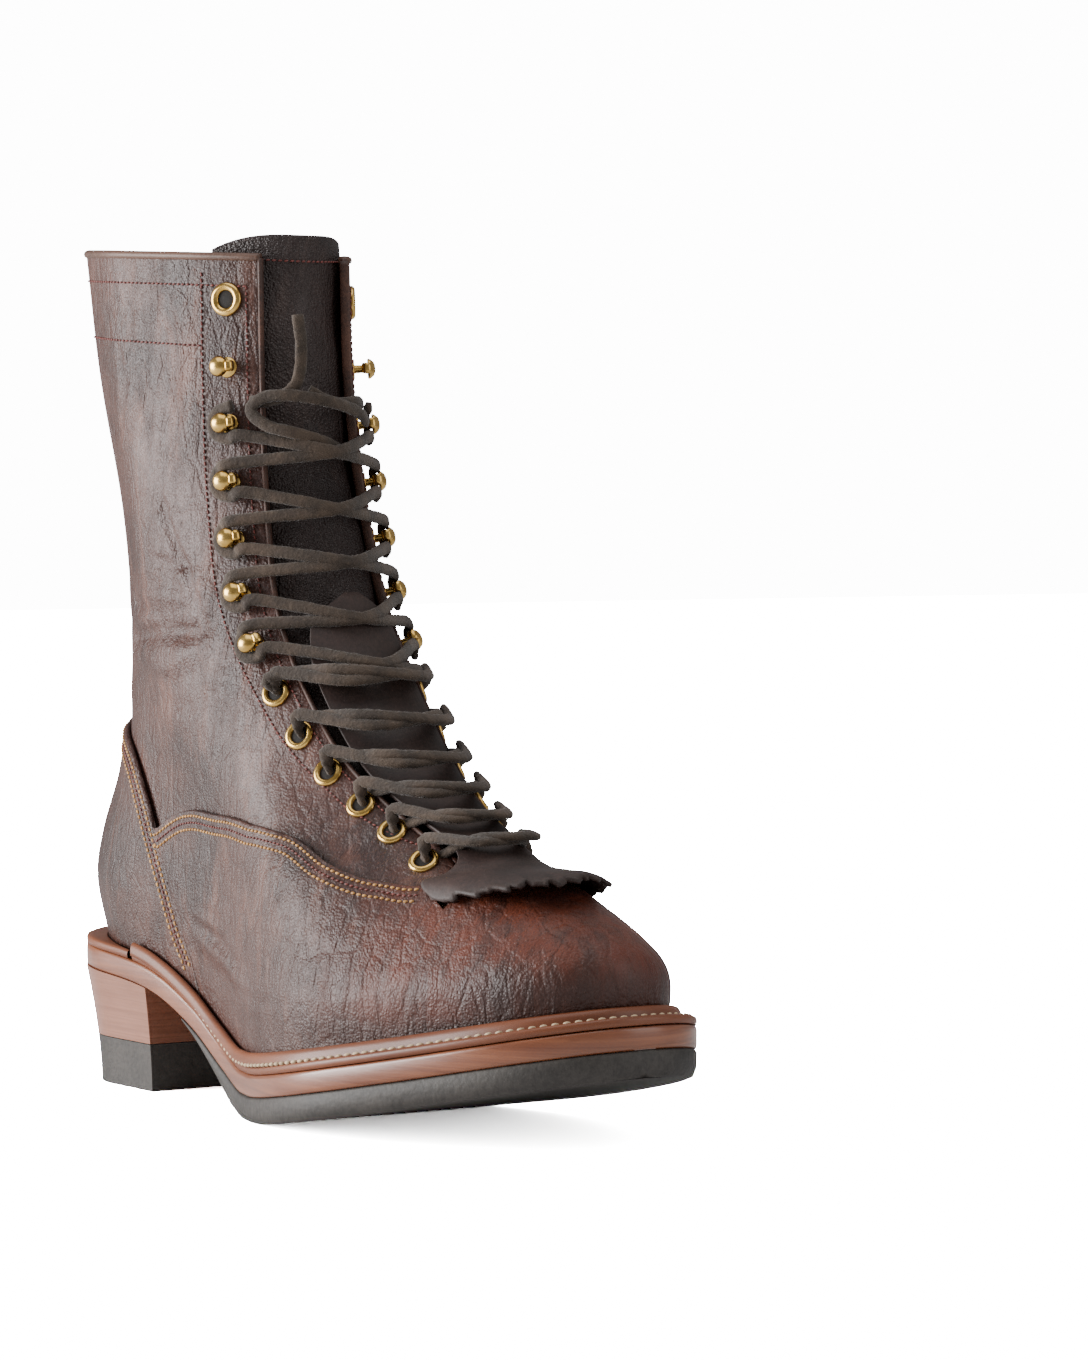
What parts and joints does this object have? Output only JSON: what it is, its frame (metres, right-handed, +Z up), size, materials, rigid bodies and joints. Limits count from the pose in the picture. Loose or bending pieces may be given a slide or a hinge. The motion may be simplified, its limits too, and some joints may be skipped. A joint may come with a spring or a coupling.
{
  "type": "logger boot",
  "caption": "Tall laced leather logger boot with a toothed kiltie, hooks and eyelets, a leather midsole, a rubber half sole and an under-slung stacked heel.",
  "frame": {"origin": "centre of the heel's flat bottom face, on the floor", "axes": "+Z up, +X towards the toe, -Y towards the outer side of the foot (a right boot)"},
  "size_m": [0.3086, 0.1145, 0.2972],
  "materials": {
    "upper_leather": "oiled, burnished at the toe",
    "tongue_leather": "pebbled",
    "insole_leather": "plain",
    "sole_leather": "stained and waxed edges",
    "heel_leather": "stacked lifts, waxed",
    "sole_rubber": "matte",
    "brass_hardware": "polished",
    "lace_leather": "rough cut rawhide"
  },
  "bodies": {
    "root": {"counter": "upper_leather", "eyelet_inner_1": "brass_hardware", "eyelet_inner_2": "brass_hardware", "eyelet_inner_3": "brass_hardware", "eyelet_inner_4": "brass_hardware", "eyelet_inner_5": "brass_hardware", "eyelet_inner_6": "brass_hardware", "eyelet_outer_1": "brass_hardware", "eyelet_outer_2": "brass_hardware", "eyelet_outer_3": "brass_hardware", "eyelet_outer_4": "brass_hardware", "eyelet_outer_5": "brass_hardware", "eyelet_outer_6": "brass_hardware", "heel": "heel_leather", "heel_lift": "sole_rubber", "heel_rand": "sole_leather", "hook_inner_1": "brass_hardware", "hook_inner_2": "brass_hardware", "hook_inner_3": "brass_hardware", "hook_inner_4": "brass_hardware", "hook_inner_5": "brass_hardware", "hook_inner_6": "brass_hardware", "hook_outer_1": "brass_hardware", "hook_outer_2": "brass_hardware", "hook_outer_3": "brass_hardware", "hook_outer_4": "brass_hardware", "hook_outer_5": "brass_hardware", "hook_outer_6": "brass_hardware", "insole": "insole_leather", "kiltie": "upper_leather", "lace_crossing_1": "lace_leather", "lace_crossing_2": "lace_leather", "lace_crossing_3": "lace_leather", "lace_crossing_4": "lace_leather", "lace_crossing_5": "lace_leather", "lace_end_inner": "lace_leather", "lace_end_outer": "lace_leather", "lace_zigzag": "lace_leather", "midsole": "sole_leather", "outsole": "sole_rubber", "tongue": "tongue_leather", "top_eyelet_inner": "brass_hardware", "top_eyelet_outer": "brass_hardware", "upper": "upper_leather", "vamp": "upper_leather", "welt": "sole_leather"}
  },
  "joints": []
}
